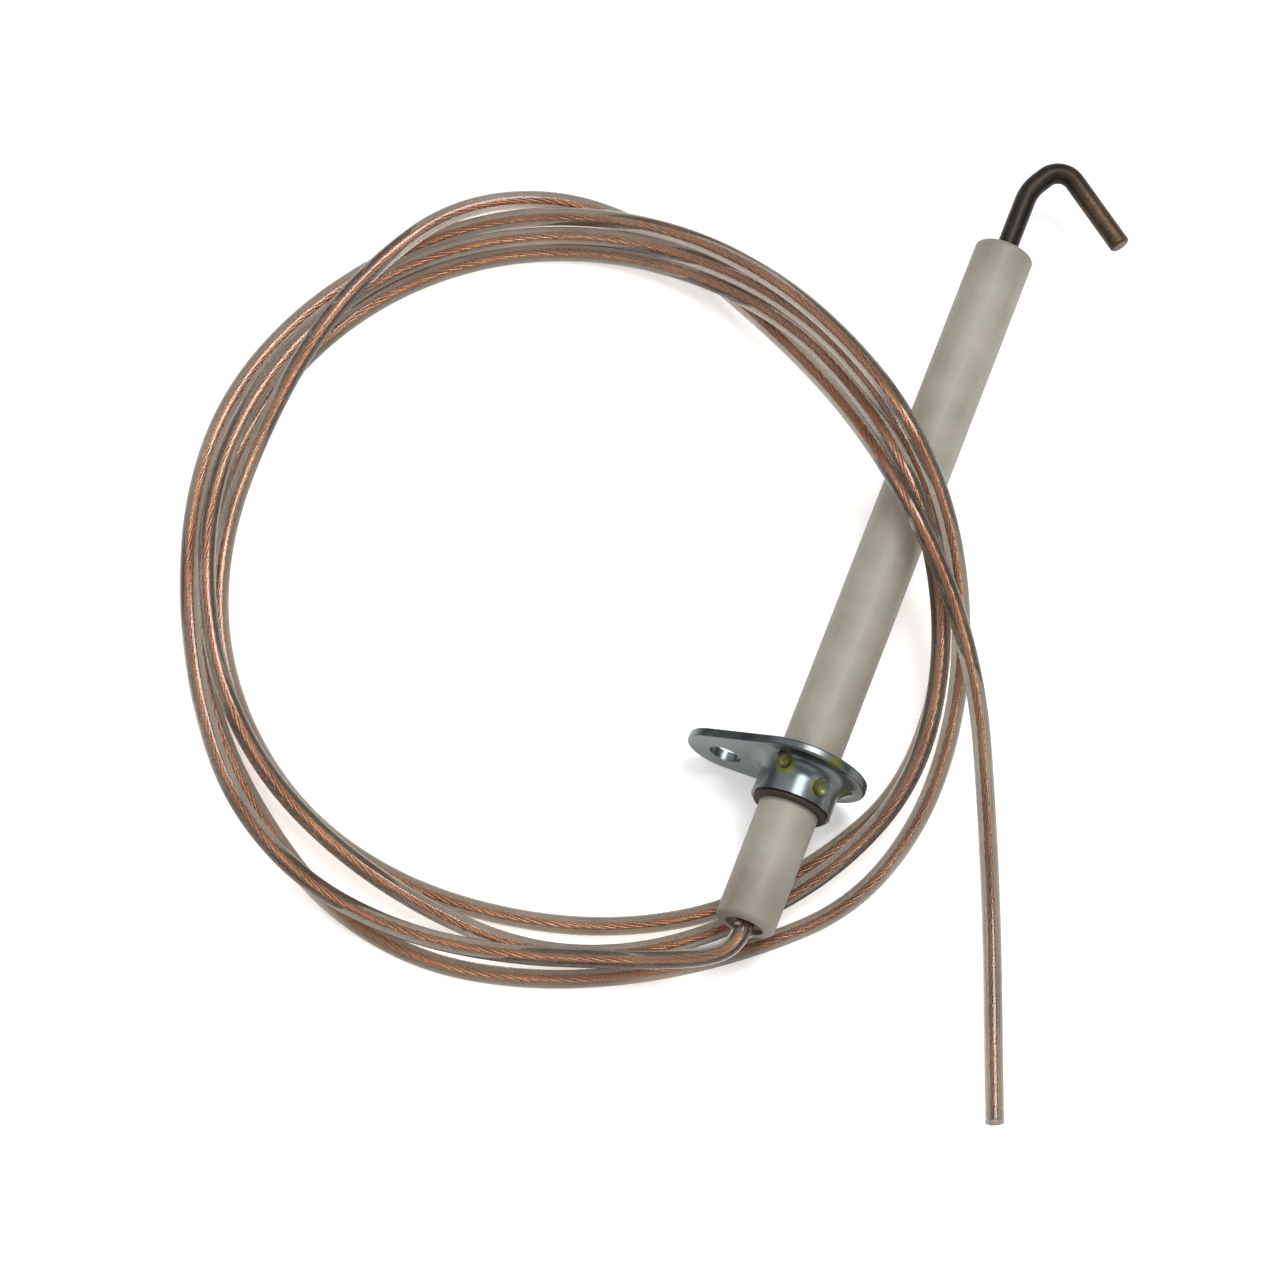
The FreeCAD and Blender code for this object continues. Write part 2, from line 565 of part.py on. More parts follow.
# the bundle lies over the ceramic on one side and its low part passes under the ceramic's end
clear = Part.makeCylinder(dim("ceramic_dia") / 2 + 0.3, LC + 1.0, V(AX, YC - 0.6, AZ), V(0, 1, 0))
coil = coil.cut(clear)
print("coil solids", len(coil.Solids), "volume", round(coil.Volume, 1), "valid", coil.isValid())
coil = coil.Solids[0]


def tube(points, radius, label, factor=0.45):
    """Round tube along straight runs joined by tangent arcs, each arc as large as its runs allow."""
    pts = [V(*p) for p in points]
    edges, at, length, radii = [], pts[0], 0.0, []
    for i in range(1, len(pts) - 1):
        a, b = pts[i] - pts[i - 1], pts[i + 1] - pts[i]
        half_turn = a.getAngle(b) / 2
        short = min(a.Length, b.Length)
        rad = factor * short / math.tan(half_turn)
        cutback = factor * short
        a.normalize()
        b.normalize()
        s, e = pts[i] - a * cutback, pts[i] + b * cutback
        bis = (b - a)
        bis.normalize()
        centre = pts[i] + bis * (rad / math.cos(half_turn))
        to = pts[i] - centre
        to.normalize()
        edges.append(Part.LineSegment(at, s).toShape())
        edges.append(Part.Arc(s, centre + to * rad, e).toShape())
        length += (s - at).Length + 2 * half_turn * rad
        radii.append(round(rad, 2))
        at = e
    edges.append(Part.LineSegment(at, pts[-1]).toShape())
    length += (pts[-1] - at).Length
    wire = Part.Wire(edges)
    start = pts[1] - pts[0]
    ring = Part.Wire([Part.makeCircle(radius, pts[0], start)])
    solid = wire.makePipeShell([ring], True, False)
    solid = solid if solid.ShapeType == "Solid" else Part.Solid(solid)
    if solid.Volume < 0:
        solid.reverse()
    print(label, "length", round(length, 2), "radii", radii, "turns",
          [round(math.degrees((pts[i] - pts[i - 1]).getAngle(pts[i + 1] - pts[i])), 1) for i in range(1, len(pts) - 1)],
          "volume ratio", round(solid.Volume / (math.pi * radius ** 2 * length), 4))
    return solid


lead_r = dim("lead_dia") / 2
EXIT_RUN = [(AX, YC, AZ), (AX, -60.4, AZ), (-2.00, -62.70, 7.4), (-7.40, -64.50, 5.3), (-13.60, -66.30, 4.0),
            (-20.47, -68.55, 3.99)]
TAIL_RUN = [(10.41, -6.71, 14.25), (18.33, -17.71, 9.89), (23.70, -29.24, 4.9), (29.25, -42.40, 2.0),
            (34.50, -56.45, 1.3), (39.20, -69.17, 1.3)]


def free_part(solid, far_point):
    """The piece of a trimmed tube that ends at far_point."""
    return min(solid.Solids, key=lambda q: q.distToShape(Part.Vertex(V(*far_point)))[0])


# the exit run stops square where it meets the coil, so no thin corner is left
beyond = Part.makeBox(20, 20, 20, V(-29.4, -76, -2))
exit_run = free_part(tube(EXIT_RUN, lead_r, "lead_exit_run").cut(coil).cut(beyond), EXIT_RUN[0])
tail_run = free_part(tube(TAIL_RUN, lead_r, "lead_tail").cut(coil), TAIL_RUN[-1])


def feature(name, shape):
    obj = doc.addObject("Part::Feature", name)
    obj.Shape = shape
    obj.Placement = FreeCAD.Placement()
    obj.Label = name
    NODES.append(obj)
    return obj


feature("lead_exit_run", exit_run)
feature("lead_coil", coil)
feature("lead_tail", tail_run)
doc.recompute()

# ---------------------------------------------------------------- checks and export
bad = []
for obj in doc.Objects:
    if "Invalid" in obj.State or "Error" in obj.State:
        bad.append("%s: %s" % (obj.Name, obj.State))
for node in NODES:
    if node.Shape.isNull() or not node.Shape.isValid() or not node.Shape.Solids:
        bad.append("%s: shape not valid" % node.Label)
if bad:
    raise SystemExit("failed objects: " + "; ".join(bad))

os.makedirs("parts", exist_ok=True)
own = FreeCAD.BoundBox()
for node in NODES:
    node.Shape.exportStep("parts/%s.step" % node.Label)
    bb = node.Shape.optimalBoundingBox(False, False)
    if not node.Label.startswith("lead_") or node.Label == "lead_insulation_inside":
        own.add(bb)
    print("%-24s solids %d  volume %9.2f  x %.2f..%.2f  y %.2f..%.2f  z %.2f..%.2f" % (
        node.Label, len(node.Shape.Solids), node.Shape.Volume, bb.XMin, bb.XMax, bb.YMin, bb.YMax, bb.ZMin, bb.ZMax))
for i, a in enumerate(NODES):
    for b in NODES[i + 1:]:
        if a.Shape.BoundBox.intersect(b.Shape.BoundBox):
            v = a.Shape.common(b.Shape).Volume
            if v > 1e-4:
                print("overlap %s / %s: %.4f mm3" % (a.Label, b.Label, v))
print("electrode box centre x %.3f y %.3f, bottom %.3f" % (own.Center.x, own.Center.y, own.ZMin))
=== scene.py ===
import math

import bpy
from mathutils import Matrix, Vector


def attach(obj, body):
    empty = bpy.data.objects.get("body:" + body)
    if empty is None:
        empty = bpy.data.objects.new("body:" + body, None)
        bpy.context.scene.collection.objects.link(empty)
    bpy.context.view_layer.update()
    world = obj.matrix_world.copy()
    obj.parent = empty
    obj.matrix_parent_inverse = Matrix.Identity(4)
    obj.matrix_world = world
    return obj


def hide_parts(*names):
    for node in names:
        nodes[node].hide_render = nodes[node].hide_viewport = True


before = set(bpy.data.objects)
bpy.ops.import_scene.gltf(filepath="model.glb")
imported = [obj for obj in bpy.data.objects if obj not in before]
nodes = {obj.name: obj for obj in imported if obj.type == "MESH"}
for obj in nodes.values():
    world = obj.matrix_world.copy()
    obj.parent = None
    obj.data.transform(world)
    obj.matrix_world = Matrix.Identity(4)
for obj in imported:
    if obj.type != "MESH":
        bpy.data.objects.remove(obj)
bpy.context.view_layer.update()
scene = bpy.context.scene
coll = scene.collection
scene.view_settings.view_transform = "Standard"
scene.view_settings.look = "None"

# ------------------------------------------------------------------ camera
cam_data = bpy.data.cameras.new("camera")
cam_data.sensor_width = 36.0
cam_data.lens = 213.75
cam_data.clip_start, cam_data.clip_end = 0.01, 20.0
cam = bpy.data.objects.new("camera", cam_data)
coll.objects.link(cam)
cam.location = (0.09563, -0.35076, 0.93667)
cam.rotation_euler = (math.radians(20.5), 0.0, math.radians(20.45))
scene.camera = cam

# ------------------------------------------------------------------ the lead, one curve end to end
LEAD_R = 0.00125
CORE_R = 0.00038
AXIS_X, AXIS_Z, CABLE_END = 0.000614, 0.0085, -0.057713
ROUTE = [
    (0.00061, -0.05771, 0.00850), (0.00061, -0.06040, 0.00850), (-0.00200, -0.06270, 0.00740),
    (-0.00740, -0.06450, 0.00530), (-0.01360, -0.06630, 0.00400), (-0.02733, -0.07079, 0.00398),
    (-0.04148, -0.07266, 0.00385), (-0.05584, -0.07049, 0.00383), (-0.06833, -0.06320, 0.00390),
    (-0.07728, -0.05202, 0.00425), (-0.08372, -0.03966, 0.00538), (-0.08868, -0.02521, 0.00311),
    (-0.08973, -0.01122, 0.00239), (-0.08606, 0.00258, 0.00179), (-0.07841, 0.01493, 0.00167),
    (-0.06800, 0.02478, 0.00231), (-0.05487, 0.03016, 0.00438), (-0.04004, 0.03111, 0.00735),
    (-0.02606, 0.02762, 0.01091), (-0.01409, 0.02112, 0.01528), (-0.00327, 0.01258, 0.01981),
    (0.00601, 0.00403, 0.01484), (0.01278, -0.00784, 0.01053), (0.01657, -0.02100, 0.00625),
    (0.01680, -0.03513, 0.00318), (0.01221, -0.04843, 0.00177), (0.00170, -0.05834, 0.00137),
    (-0.01021, -0.06640, 0.00131), (-0.02338, -0.07218, 0.00130), (-0.03762, -0.07480, 0.00130),
    (-0.05182, -0.07181, 0.00130), (-0.06392, -0.06390, 0.00130), (-0.07434, -0.05397, 0.00130),
    (-0.08200, -0.04173, 0.00130), (-0.08604, -0.02786, 0.00130), (-0.08602, -0.01344, 0.00130),
    (-0.08235, 0.00054, 0.00130), (-0.07467, 0.01277, 0.00130), (-0.06359, 0.02202, 0.00145),
    (-0.05002, 0.02717, 0.00204), (-0.03573, 0.02750, 0.00430), (-0.02219, 0.02357, 0.00762),
    (-0.01137, 0.01654, 0.01178), (-0.00082, 0.00627, 0.01884), (0.00752, -0.00331, 0.01256),
    (0.01302, -0.01655, 0.00946), (0.01430, -0.03071, 0.00618), (0.00932, -0.04384, 0.00407),
    (0.00033, -0.05501, 0.00277), (-0.01097, -0.06394, 0.00197), (-0.02461, -0.06877, 0.00199),
    (-0.03909, -0.06826, 0.00272), (-0.05308, -0.06489, 0.00368), (-0.06587, -0.05830, 0.00376),
    (-0.07623, -0.04820, 0.00375), (-0.08286, -0.03621, 0.00559), (-0.08684, -0.02171, 0.00411),
    (-0.08623, -0.00731, 0.00353), (-0.08159, 0.00585, 0.00312), (-0.07288, 0.01729, 0.00306),
    (-0.06077, 0.02521, 0.00350), (-0.04724, 0.02910, 0.00437), (-0.03239, 0.02832, 0.00705),
    (-0.01996, 0.02402, 0.01051), (-0.00868, 0.01612, 0.01580), (0.00156, 0.00735, 0.01490),
    (0.00849, -0.00427, 0.01005), (0.01327, -0.01728, 0.00615), (0.01309, -0.03163, 0.00316),
    (0.00634, -0.04392, 0.00177), (-0.00322, -0.05468, 0.00137), (-0.01578, -0.06182, 0.00131),
    (-0.02975, -0.06538, 0.00130), (-0.04418, -0.06579, 0.00130), (-0.05815, -0.06206, 0.00130),
    (-0.07000, -0.05375, 0.00132), (-0.07872, -0.04225, 0.00146), (-0.08321, -0.02876, 0.00198),
    (-0.08373, -0.01466, 0.00312), (-0.08207, -0.00021, 0.00508), (-0.07795, 0.01305, 0.00553),
    (-0.07109, 0.02581, 0.00357), (-0.05828, 0.03263, 0.00210), (-0.04377, 0.03190, 0.00176),
    (-0.02999, 0.02614, 0.00277), (-0.01833, 0.01928, 0.00679), (-0.00913, 0.01216, 0.01151),
    (0.00058, 0.00234, 0.01857), (0.01041, -0.00671, 0.01425), (0.01833, -0.01771, 0.00989),
    (0.02370, -0.02924, 0.00490), (0.02925, -0.04240, 0.00200), (0.03450, -0.05645, 0.00130),
    (0.03920, -0.06917, 0.00130),
]


def lead_curve(name, bevel):
    data = bpy.data.curves.new(name, "CURVE")
    data.dimensions = "3D"
    data.resolution_u = 16
    sp = data.splines.new("NURBS")
    sp.points.add(len(ROUTE) - 1)
    for p, co in zip(sp.points, ROUTE):
        p.co = (co[0], co[1], co[2], 1.0)
    sp.order_u = 3
    sp.use_endpoint_u = True
    if bevel:
        data.bevel_depth = LEAD_R
        data.bevel_resolution = 7
        data.use_fill_caps = True
    obj = bpy.data.objects.new(name, data)
    coll.objects.link(obj)
    return obj


lead = lead_curve("ignition_lead", True)

# centreline, read back from the same spline without its bevel
line_obj = lead_curve("lead_line", False)
line_mesh = bpy.data.meshes.new_from_object(line_obj)
LINE = [v.co.copy() for v in line_mesh.vertices]
bpy.data.objects.remove(line_obj)
bpy.data.meshes.remove(line_mesh)


def frames_along(line):
    """Tangent and two normals at each point, turned as little as possible from one to the next."""
    out = []
    n = None
    for i, p in enumerate(line):
        a, b = line[max(i - 1, 0)], line[min(i + 1, len(line) - 1)]
        t = (b - a).normalized()
        if n is None:
            n = t.orthogonal().normalized()
        n = (n - t * n.dot(t)).normalized()
        out.append((p, t, n, t.cross(n)))
    return out


def twisted_strands(name, line, strands, centre_r, wire_r, pitch, sides=7, phase=0.0, reach=(0.0, 0.0)):
    """Strands laid round a centreline at centre_r, one turn per pitch, each closed at its ends."""
    fr = frames_along(line)
    along = [0.0]
    for a, b in zip(line, line[1:]):
        along.append(along[-1] + (b - a).length)
    total = along[-1]
    keep = [i for i in range(len(line)) if reach[0] <= along[i] <= total - reach[1]]
    verts, faces = [], []
    for k in range(strands):
        pts = []
        for i in keep:
            p, t, n, b = fr[i]
            a = 2 * math.pi * (k / strands + along[i] / pitch) + phase + 0.25 * math.sin(along[i] * 173.0 + k)
            r = centre_r * (1.0 + 0.05 * math.sin(along[i] * 411.0 + 2.1 * k))
            pts.append(p + (n * math.cos(a) + b * math.sin(a)) * r)
        start = len(verts)
        for p, t, n, b in frames_along(pts):
            for j in range(sides):
                w = 2 * math.pi * j / sides
                verts.append(p + (n * math.cos(w) + b * math.sin(w)) * wire_r)
        m = len(pts)
        for i in range(m - 1):
            for j in range(sides):
                j2 = (j + 1) % sides
                faces.append((start + i * sides + j, start + i * sides + j2,
                              start + (i + 1) * sides + j2, start + (i + 1) * sides + j))
        faces.append(tuple(start + j for j in reversed(range(sides))))
        faces.append(tuple(start + (m - 1) * sides + j for j in range(sides)))
    mesh = bpy.data.meshes.new(name)
    mesh.from_pydata([tuple(v) for v in verts], [], faces)
    mesh.update()
    for p in mesh.polygons:
        p.use_smooth = len(p.vertices) == 4
    obj = bpy.data.objects.new(name, mesh)
    coll.objects.link(obj)
    return obj


# the core ends just short of the cut face of the insulation
CORE_LINE = LINE[:-1] + [LINE[-1] + (LINE[-2] - LINE[-1]).normalized() * 0.00005]
core = twisted_strands("lead_core_strands", CORE_LINE, 6, CORE_R * 0.66, CORE_R * 0.34, 0.0095, reach=(0.0, 0.0))

# ------------------------------------------------------------------ material helpers
def material(name):
    m = bpy.data.materials.new(name)
    m.use_nodes = True
    nt = m.node_tree
    bsdf = next(n for n in nt.nodes if n.type == "BSDF_PRINCIPLED")
    return m, nt, bsdf


def coords(nt, scale=(1, 1, 1)):
    tc = nt.nodes.new("ShaderNodeTexCoord")
    mp = nt.nodes.new("ShaderNodeMapping")
    mp.inputs["Scale"].default_value = scale
    nt.links.new(tc.outputs["Object"], mp.inputs["Vector"])
    return mp.outputs["Vector"]


def noise(nt, vec, scale, detail=4.0, rough=0.55, distortion=0.0):
    n = nt.nodes.new("ShaderNodeTexNoise")
    n.inputs["Scale"].default_value = scale
    n.inputs["Detail"].default_value = detail
    n.inputs["Roughness"].default_value = rough
    n.inputs["Distortion"].default_value = distortion
    nt.links.new(vec, n.inputs["Vector"])
    return n.outputs["Fac"]


def ramp(nt, fac, stops):
    r = nt.nodes.new("ShaderNodeValToRGB")
    e = r.color_ramp.elements
    e[0].position, e[0].color = stops[0][0], (*stops[0][1], 1)
    e[1].position, e[1].color = stops[-1][0], (*stops[-1][1], 1)
    for pos, col in stops[1:-1]:
        x = e.new(pos)
        x.color = (*col, 1)
    nt.links.new(fac, r.inputs["Fac"])
    return r.outputs["Color"]


def gray_ramp(nt, fac, a, va, b, vb):
    return ramp(nt, fac, [(a, (va, va, va)), (b, (vb, vb, vb))])


def mix(nt, fac, a, b, mode="MIX"):
    m = nt.nodes.new("ShaderNodeMix")
    m.data_type = "RGBA"
    m.blend_type = mode
    for sock, val in ((m.inputs[0], fac), (m.inputs[6], a), (m.inputs[7], b)):
        if isinstance(val, (int, float)):
            sock.default_value = val
        elif isinstance(val, tuple):
            sock.default_value = (*val, 1)
        else:
            nt.links.new(val, sock)
    return m.outputs[2]


def maths(nt, op, a, b=None, clamp=False):
    m = nt.nodes.new("ShaderNodeMath")
    m.operation = op
    m.use_clamp = clamp
    for sock, val in zip(m.inputs, (a, b)):
        if val is None:
            continue
        if isinstance(val, (int, float)):
            sock.default_value = val
        else:
            nt.links.new(val, sock)
    return m.outputs[0]


def near(nt, point, r_in, r_out, wobble=None, amount=0.0):
    """1 within r_in of the point, 0 beyond r_out, in object coordinates."""
    tc = nt.nodes.new("ShaderNodeTexCoord")
    d = nt.nodes.new("ShaderNodeVectorMath")
    d.operation = "DISTANCE"
    nt.links.new(tc.outputs["Object"], d.inputs[0])
    d.inputs[1].default_value = point
    dist = d.outputs["Value"]
    if wobble is not None:
        dist = maths(nt, "ADD", dist, maths(nt, "MULTIPLY", maths(nt, "SUBTRACT", wobble, 0.5), amount))
    mr = nt.nodes.new("ShaderNodeMapRange")
    mr.inputs["From Min"].default_value = r_in
    mr.inputs["From Max"].default_value = r_out
    mr.inputs["To Min"].default_value = 1.0
    mr.inputs["To Max"].default_value = 0.0
    nt.links.new(dist, mr.inputs["Value"])
    return mr.outputs["Result"]


def bump(nt, bsdf, height, strength, distance):
    b = nt.nodes.new("ShaderNodeBump")
    b.inputs["Strength"].default_value = strength
    b.inputs["Distance"].default_value = distance
    nt.links.new(height, b.inputs["Height"])
    nt.links.new(b.outputs["Normal"], bsdf.inputs["Normal"])


def assign(obj, m):
    obj.data.materials.clear()
    obj.data.materials.append(m)


# ------------------------------------------------------------------ materials
# alumina tube: warm grey, unglazed, with faint drawing streaks, small specks and a darker, browner lead end
ceramic, nt, b = material("alumina_ceramic")
v = coords(nt)
long_v = coords(nt, (1.0, 0.06, 1.0))
streak = noise(nt, long_v, 900.0, 3.0)
mottle = noise(nt, v, 160.0, 5.0)
speck = noise(nt, v, 2600.0, 2.0)
base = ramp(nt, mottle, [(0.30, (0.218, 0.200, 0.158)), (0.52, (0.264, 0.244, 0.197)), (0.75, (0.308, 0.286, 0.234))])
base = mix(nt, gray_ramp(nt, streak, 0.45, 0.0, 0.75, 0.35), base, (0.33, 0.30, 0.255))
base = mix(nt, gray_ramp(nt, speck, 0.70, 0.0, 0.78, 0.5), base, (0.14, 0.12, 0.095))
# darker, browner colour painted round the lead end of the tube, fading out over about 10 mm
lead_end_dark = near(nt, (AXIS_X, CABLE_END, AXIS_Z), 0.0035, 0.0100, mottle, 0.006)
base = mix(nt, maths(nt, "MULTIPLY", lead_end_dark, 0.62), base, (0.15, 0.105, 0.07))
soot = near(nt, (AXIS_X, CABLE_END + 0.1007, AXIS_Z), 0.003, 0.0085, mottle, 0.006)
base = mix(nt, maths(nt, "MULTIPLY", soot, 0.35), base, (0.10, 0.08, 0.065))
nt.links.new(base, b.inputs["Base Color"])
nt.links.new(gray_ramp(nt, mottle, 0.3, 0.50, 0.7, 0.68), b.inputs["Roughness"])
b.inputs["IOR"].default_value = 1.62
bump(nt, b, mix(nt, 0.5, speck, streak), 0.35, 0.00003)
assign(nodes["ceramic_insulator"], ceramic)

# hooked wire: drawn heat-resistant alloy, blackened in use, browner towards the free leg
wire, nt, b = material("heat_blackened_wire")
v = coords(nt)
blot = noise(nt, v, 420.0, 5.0, 0.6)
fine = noise(nt, v, 2400.0, 3.0, 0.6)
base = ramp(nt, blot, [(0.30, (0.010, 0.008, 0.006)), (0.55, (0.022, 0.017, 0.013)), (0.80, (0.055, 0.038, 0.026))])
leg = near(nt, (AXIS_X + 0.0130, 0.0500, AXIS_Z), 0.0050, 0.0105, blot, 0.006)
brown = ramp(nt, fine, [(0.30, (0.045, 0.028, 0.016)), (0.70, (0.130, 0.080, 0.045))])
base = mix(nt, maths(nt, "MULTIPLY", leg, 0.75), base, brown)
nt.links.new(base, b.inputs["Base Color"])
b.inputs["Metallic"].default_value = 0.75
nt.links.new(gray_ramp(nt, blot, 0.3, 0.34, 0.7, 0.55), b.inputs["Roughness"])
bump(nt, b, fine, 0.5, 0.00003)
assign(nodes["electrode_rod"], wire)

# flange: bright zinc plating over pressed steel, faint spangle and scuffs, yellow stains at the staking marks
zinc, nt, b = material("zinc_plated_flange")
v = coords(nt)
cloud = noise(nt, v, 190.0, 5.0, 0.6, 0.6)
scuff = noise(nt, coords(nt, (1.0, 1.0, 0.18)), 1500.0, 4.0, 0.7)
base = ramp(nt, cloud, [(0.30, (0.060, 0.075, 0.079)), (0.50, (0.095, 0.113, 0.116)), (0.72, (0.150, 0.167, 0.164))])
base = mix(nt, gray_ramp(nt, scuff, 0.62, 0.0, 0.80, 0.45), base, (0.04, 0.047, 0.05))
STAINS = (
    ((-0.0015, -0.03676, 0.01347), 0.0010, 0.0018, 0.92),
    ((0.00374, -0.03811, 0.01265), 0.0010, 0.0018, 0.92),
    ((0.00597, -0.03676, 0.00784), 0.0010, 0.0019, 0.85),
    ((-0.00455, -0.03811, 0.00913), 0.0010, 0.0019, 0.85),
    ((-0.00264, -0.03676, 0.00419), 0.0010, 0.0019, 0.85),
    ((0.00265, -0.03811, 0.00371), 0.0010, 0.0019, 0.85),
    ((0.00476, -0.03551, 0.01569), 0.0008, 0.0014, 1.00),
    ((-0.00505, -0.03551, 0.01326), 0.0004, 0.0014, 0.30),
)
stained = 0.0
for point, r_in, r_out, amount in STAINS:
    s = maths(nt, "MULTIPLY", near(nt, point, r_in, r_out, cloud, 0.0018), amount)
    base = mix(nt, s, base, (0.135, 0.14, 0.032))
    stained = maths(nt, "MAXIMUM", s, stained)
nt.links.new(base, b.inputs["Base Color"])
b.inputs["Metallic"].default_value = 1.0
rough = gray_ramp(nt, cloud, 0.25, 0.24, 0.75, 0.40)
nt.links.new(mix(nt, stained, rough, (0.55, 0.55, 0.55)), b.inputs["Roughness"])
b.inputs["Coat Weight"].default_value = 0.35
b.inputs["Coat Roughness"].default_value = 0.17
bump(nt, b, mix(nt, 0.6, cloud, scuff), 0.30, 0.00004)
assign(nodes["mounting_flange"], zinc)

# packing ring: dark brown pressed fibre
fibre, nt, b = material("brown_fibre_ring")
v = coords(nt)
f1 = noise(nt, coords(nt, (1.0, 3.0, 1.0)), 1900.0, 4.0, 0.7)
nt.links.new(ramp(nt, f1, [(0.30, (0.010, 0.006, 0.005)), (0.70, (0.042, 0.023, 0.015))]), b.inputs["Base Color"])
nt.links.new(gray_ramp(nt, f1, 0.3, 0.55, 0.7, 0.80), b.inputs["Roughness"])
bump(nt, b, f1, 0.6, 0.00005)
assign(nodes["collar_packing_ring"], fibre)

# cement at the hook end and potting at the lead end
cement, nt, b = material("buff_cement")
v = coords(nt)
g = noise(nt, v, 2200.0, 6.0, 0.7)
nt.links.new(ramp(nt, g, [(0.3, (0.20, 0.17, 0.135)), (0.7, (0.42, 0.37, 0.30))]), b.inputs["Base Color"])
nt.links.new(gray_ramp(nt, g, 0.3, 0.75, 0.7, 0.92), b.inputs["Roughness"])
bump(nt, b, g, 0.8, 0.00008)
assign(nodes["front_cement"], cement)

potting, nt, b = material("amber_potting")
v = coords(nt)
g = noise(nt, v, 700.0, 4.0, 0.6)
nt.links.new(ramp(nt, g, [(0.3, (0.065, 0.038, 0.022)), (0.7, (0.135, 0.085, 0.052))]), b.inputs["Base Color"])
nt.links.new(gray_ramp(nt, g, 0.3, 0.28, 0.7, 0.45), b.inputs["Roughness"])
bump(nt, b, g, 0.4, 0.00006)
assign(nodes["rear_potting"], potting)

# ferrule: drawn brass with a little tarnish
brass, nt, b = material("drawn_brass")
g = noise(nt, coords(nt, (1.0, 0.1, 1.0)), 1300.0, 4.0, 0.6)
nt.links.new(ramp(nt, g, [(0.3, (0.42, 0.27, 0.09)), (0.7, (0.72, 0.52, 0.24))]), b.inputs["Base Color"])
b.inputs["Metallic"].default_value = 1.0
nt.links.new(gray_ramp(nt, g, 0.3, 0.25, 0.7, 0.45), b.inputs["Roughness"])
bump(nt, b, g, 0.25, 0.00002)
assign(nodes["splice_ferrule"], brass)

# copper of the lead's core: bright where it is free, darker and redder in patches, and darkened near the free tail as
# painted shade that damps the key light's glint there
copper, nt, b = material("copper_strands")
v = coords(nt)
patch = noise(nt, v, 55.0, 3.0, 0.6)
fine = noise(nt, v, 1800.0, 3.0, 0.6)
base = ramp(nt, patch, [(0.30, (0.62, 0.27, 0.13)), (0.50, (0.84, 0.43, 0.24)), (0.72, (0.96, 0.62, 0.38))])
base = mix(nt, gray_ramp(nt, fine, 0.55, 0.0, 0.75, 0.22), base, (0.30, 0.125, 0.065))
# painted shade: the copper is darkened near the free tail so the key light's glint there is damped
tail_painted_shade = near(nt, (0.0345, -0.0560, 0.0013), 0.018, 0.040, patch, 0.01)
base = mix(nt, maths(nt, "MULTIPLY", tail_painted_shade, 0.75), base, (0.26, 0.15, 0.10))
nt.links.new(base, b.inputs["Base Color"])
b.inputs["Metallic"].default_value = 0.9
nt.links.new(gray_ramp(nt, fine, 0.3, 0.22, 0.7, 0.34), b.inputs["Roughness"])
bump(nt, b, fine, 0.08, 0.00001)
assign(core, copper)
assign(nodes["conductor_strands"], copper)

# insulation: clear silicone, faintly smoky, lets lamps through to the copper
clear, nt, b = material("clear_lead_insulation")
v = coords(nt)
haze = noise(nt, v, 130.0, 4.0, 0.6)
nt.links.new(ramp(nt, haze, [(0.3, (0.225, 0.195, 0.160)), (0.7, (0.315, 0.275, 0.230))]), b.inputs["Base Color"])
nt.links.new(gray_ramp(nt, haze, 0.3, 0.05, 0.7, 0.14), b.inputs["Roughness"])
b.inputs["IOR"].default_value = 1.42
b.inputs["Transmission Weight"].default_value = 0.90
out = next(n for n in nt.nodes if n.type == "OUTPUT_MATERIAL")
lp = nt.nodes.new("ShaderNodeLightPath")
tr = nt.nodes.new("ShaderNodeBsdfTransparent")
tr.inputs["Color"].default_value = (0.80, 0.76, 0.71, 1)
mx = nt.nodes.new("ShaderNodeMixShader")
nt.links.new(lp.outputs["Is Shadow Ray"], mx.inputs[0])
nt.links.new(b.outputs[0], mx.inputs[1])
nt.links.new(tr.outputs[0], mx.inputs[2])
nt.links.new(mx.outputs[0], out.inputs["Surface"])
assign(lead, clear)
assign(nodes["lead_insulation_inside"], clear)
for n in ("lead_exit_run", "lead_coil", "lead_tail"):
    assign(nodes[n], clear)

# ------------------------------------------------------------------ what stands for what
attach(lead, "root")
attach(core, "root")
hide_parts("lead_exit_run", "lead_coil", "lead_tail")

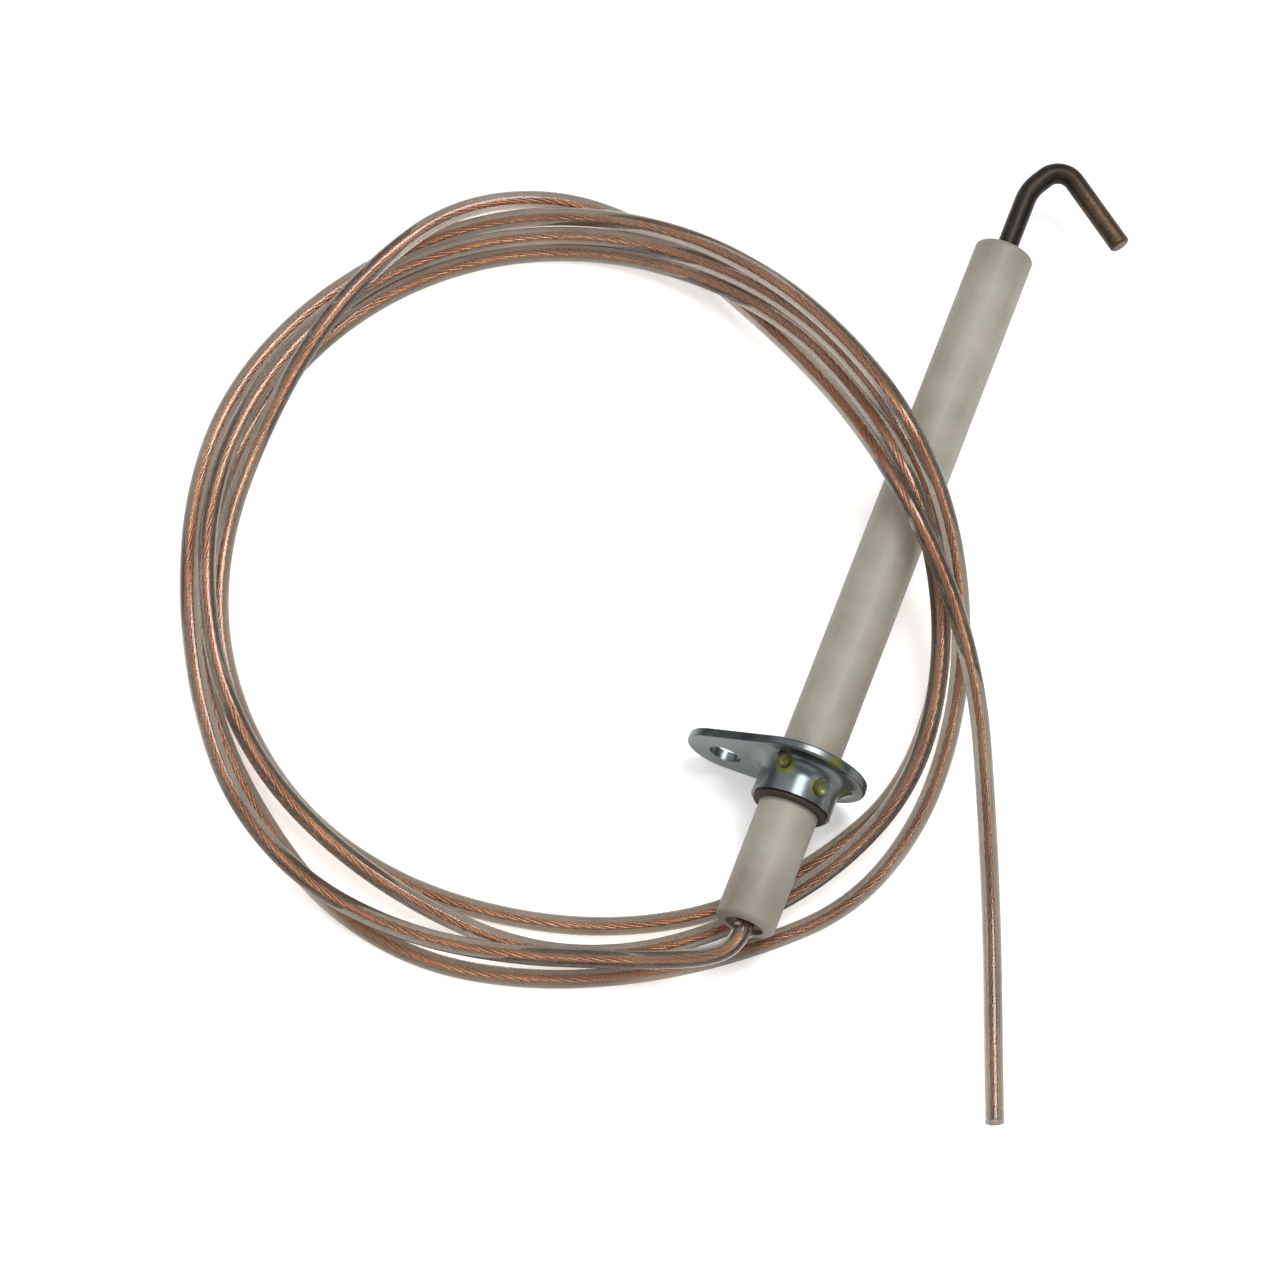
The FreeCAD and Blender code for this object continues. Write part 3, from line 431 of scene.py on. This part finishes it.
# ------------------------------------------------------------------ floor and light
fm = bpy.data.meshes.new("floor")
fm.from_pydata([(-3, -3, -0.0001), (3, -3, -0.0001), (3, 3, -0.0001), (-3, 3, -0.0001)], [], [(0, 1, 2, 3)])
floor = bpy.data.objects.new("floor", fm)
coll.objects.link(floor)
paper, nt, b = material("white_paper")
g = noise(nt, coords(nt), 30.0, 3.0)
nt.links.new(gray_ramp(nt, g, 0.3, 0.93, 0.7, 0.96), b.inputs["Base Color"])
b.inputs["Roughness"].default_value = 0.9
b.inputs["Specular IOR Level"].default_value = 0.1
b.inputs["Emission Color"].default_value = (1.0, 1.0, 1.0, 1)
b.inputs["Emission Strength"].default_value = 0.30
assign(floor, paper)

world = bpy.data.worlds.new("world")
scene.world = world
world.use_nodes = True
bg = next(n for n in world.node_tree.nodes if n.type == "BACKGROUND")
# bright overhead, darker towards the horizon
wt = world.node_tree
wc = wt.nodes.new("ShaderNodeTexCoord")
ws = wt.nodes.new("ShaderNodeSeparateXYZ")
wt.links.new(wc.outputs["Generated"], ws.inputs[0])
wt.links.new(ramp(wt, ws.outputs["Z"], [(0.0, (0.10, 0.10, 0.10)), (0.30, (0.25, 0.25, 0.25)), (0.70, (0.80, 0.80, 0.80))]),
             bg.inputs["Color"])
bg.inputs["Strength"].default_value = 0.80


def area(name, loc, target, size, power, colour=(1, 1, 1)):
    d = bpy.data.lights.new(name, "AREA")
    d.shape = "RECTANGLE"
    d.size, d.size_y = size
    d.energy = power
    d.color = colour
    o = bpy.data.objects.new(name, d)
    coll.objects.link(o)
    o.location = loc
    o.rotation_euler = (Vector(target) - Vector(loc)).to_track_quat("-Z", "Y").to_euler()
    return o


area("key", (0.145, 0.33, 0.935), (-0.02, -0.01, 0.0), (0.40, 0.40), 7.0)
area("fill", (-0.70, 0.10, 0.80), (-0.02, -0.01, 0.0), (0.90, 0.90), 2.0, (0.96, 0.98, 1.0))
area("side", (0.80, -0.10, 0.60), (-0.02, -0.01, 0.0), (0.60, 0.60), 1.5)
area("front", (0.10, -0.90, 0.60), (-0.02, -0.01, 0.0), (0.90, 0.45), 1.2)
